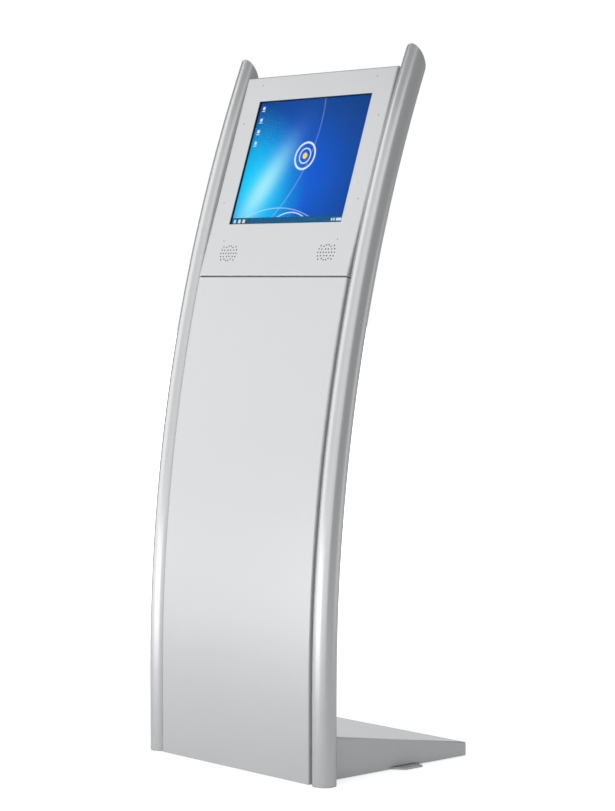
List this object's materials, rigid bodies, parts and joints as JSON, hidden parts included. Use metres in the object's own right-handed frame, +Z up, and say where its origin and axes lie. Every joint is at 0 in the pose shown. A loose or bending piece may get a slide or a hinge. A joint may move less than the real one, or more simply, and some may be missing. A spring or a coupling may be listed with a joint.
{
  "type": "touchscreen kiosk",
  "caption": "Free-standing touchscreen kiosk: tilted flat head and curved sheet-metal front between two curved round columns, on a low wedge foot with a hinged service door behind.",
  "frame": {"origin": "on the floor, at the middle of the whole kiosk's width and depth", "axes": "+Z up, +Y from the visitor towards the kiosk's rear, +X to the visitor's right"},
  "size_m": [0.5484, 0.4475, 1.4482],
  "materials": {
    "silver_paint": "smooth satin silver-grey powder coat",
    "zinc_steel": "zinc-plated sheet and fasteners",
    "stud_steel": "painted stud ends, flush with the face",
    "black_plastic": "fine matt texture",
    "rocker_plastic": "moulded, half gloss",
    "socket_metal": "bright plated metal",
    "button_metal": "turned face",
    "contact_brass": "plated contacts",
    "black_rubber": "foam gasket",
    "touch_glass": "clear, polished",
    "display_frame": "black pressed frame",
    "display_surface": "lit display",
    "display_can": "pressed metal case",
    "circuit_board": "green solder mask",
    "speaker_plastic": "moulded basket and paper cone",
    "speaker_cloth": "thin acoustic cloth",
    "black_aluminium": "black anodised, finned",
    "lock_chrome": "polished plating",
    "lead_jacket": "soft flexible jacket",
    "data_jacket": "grey jacket"
  },
  "bodies": {
    "root": {"left_column": "silver_paint", "right_column": "silver_paint", "column_end_caps": "silver_paint", "column_foot_plugs": "black_plastic", "column_bosses": "zinc_steel", "frame_bolts": "zinc_steel", "frame_nuts": "zinc_steel", "left_side_plate": "zinc_steel", "right_side_plate": "zinc_steel", "lower_front_panel": "silver_paint", "front_panel_nuts": "zinc_steel", "foot_floor_plate": "zinc_steel", "foot_gussets": "zinc_steel", "foot_cover": "silver_paint", "bottom_cross_tube": "zinc_steel", "middle_cross_member": "zinc_steel", "lower_back_cover": "silver_paint", "cover_screws": "zinc_steel", "equipment_plate": "zinc_steel", "power_supply": "display_can", "io_plate": "zinc_steel", "power_inlet": "black_plastic", "inlet_pins": "contact_brass", "switch_housing": "black_plastic", "button_housing": "socket_metal", "network_socket": "socket_metal", "head_housing": "silver_paint", "head_bezel": "silver_paint", "bezel_studs": "stud_steel", "bezel_nuts": "zinc_steel", "glass_gasket": "black_rubber", "touch_glass": "touch_glass", "display_frame": "display_frame", "display_panel": "display_surface", "display_housing": "display_can", "display_brackets": "zinc_steel", "display_driver_board": "circuit_board", "left_speaker": "speaker_plastic", "right_speaker": "speaker_plastic", "speaker_cloths": "speaker_cloth", "computer_tray": "zinc_steel", "mini_computer": "black_aluminium", "fan_frames": "black_plastic", "hinge_fixed_leaves": "zinc_steel", "hinge_pins": "zinc_steel", "mains_lead": "lead_jacket", "supply_lead": "lead_jacket", "network_lead": "data_jacket", "speaker_leads": "lead_jacket", "display_lead": "lead_jacket"},
    "door": {"rear_door": "silver_paint", "hinge_moving_leaves": "zinc_steel", "lock_body": "lock_chrome", "lock_nut": "zinc_steel"},
    "lock": {"lock_plug": "lock_chrome", "lock_cam": "zinc_steel"},
    "left_fan": {"left_fan_rotor": "black_plastic"},
    "right_fan": {"right_fan_rotor": "black_plastic"},
    "rocker": {"switch_rocker": "rocker_plastic"},
    "button": {"button_cap": "button_metal"}
  },
  "joints": [
    {"name": "rear_door_hinge", "type": "hinge", "parent": "root", "child": "door", "pos_m": [-0.19075, 0.00073, 1.13526], "axis": [0, 0.3161, 0.9487], "range_deg": [0, 110]},
    {"name": "lock_turn", "type": "hinge", "parent": "door", "child": "lock", "pos_m": [0.168, -0.01805, 1.14152], "axis": [0, -0.9487, 0.3161], "range_deg": [0, 90]},
    {"name": "left_fan_spin", "type": "hinge", "parent": "root", "child": "left_fan", "pos_m": [-0.07, 0.05558, 1.33781], "axis": [0, 0.9487, -0.3161], "continuous": true},
    {"name": "right_fan_spin", "type": "hinge", "parent": "root", "child": "right_fan", "pos_m": [0.07, 0.05558, 1.33781], "axis": [0, 0.9487, -0.3161], "continuous": true},
    {"name": "rocker_tilt", "type": "hinge", "parent": "root", "child": "rocker", "pos_m": [0.004, -0.16053, 0.131], "axis": [1, 0, 0], "range_deg": [0, 24]},
    {"name": "button_press", "type": "slide", "parent": "root", "child": "button", "axis": [0, -1, 0], "range_m": [0, 0.002], "stiffness_N_per_m": 500}
  ]
}
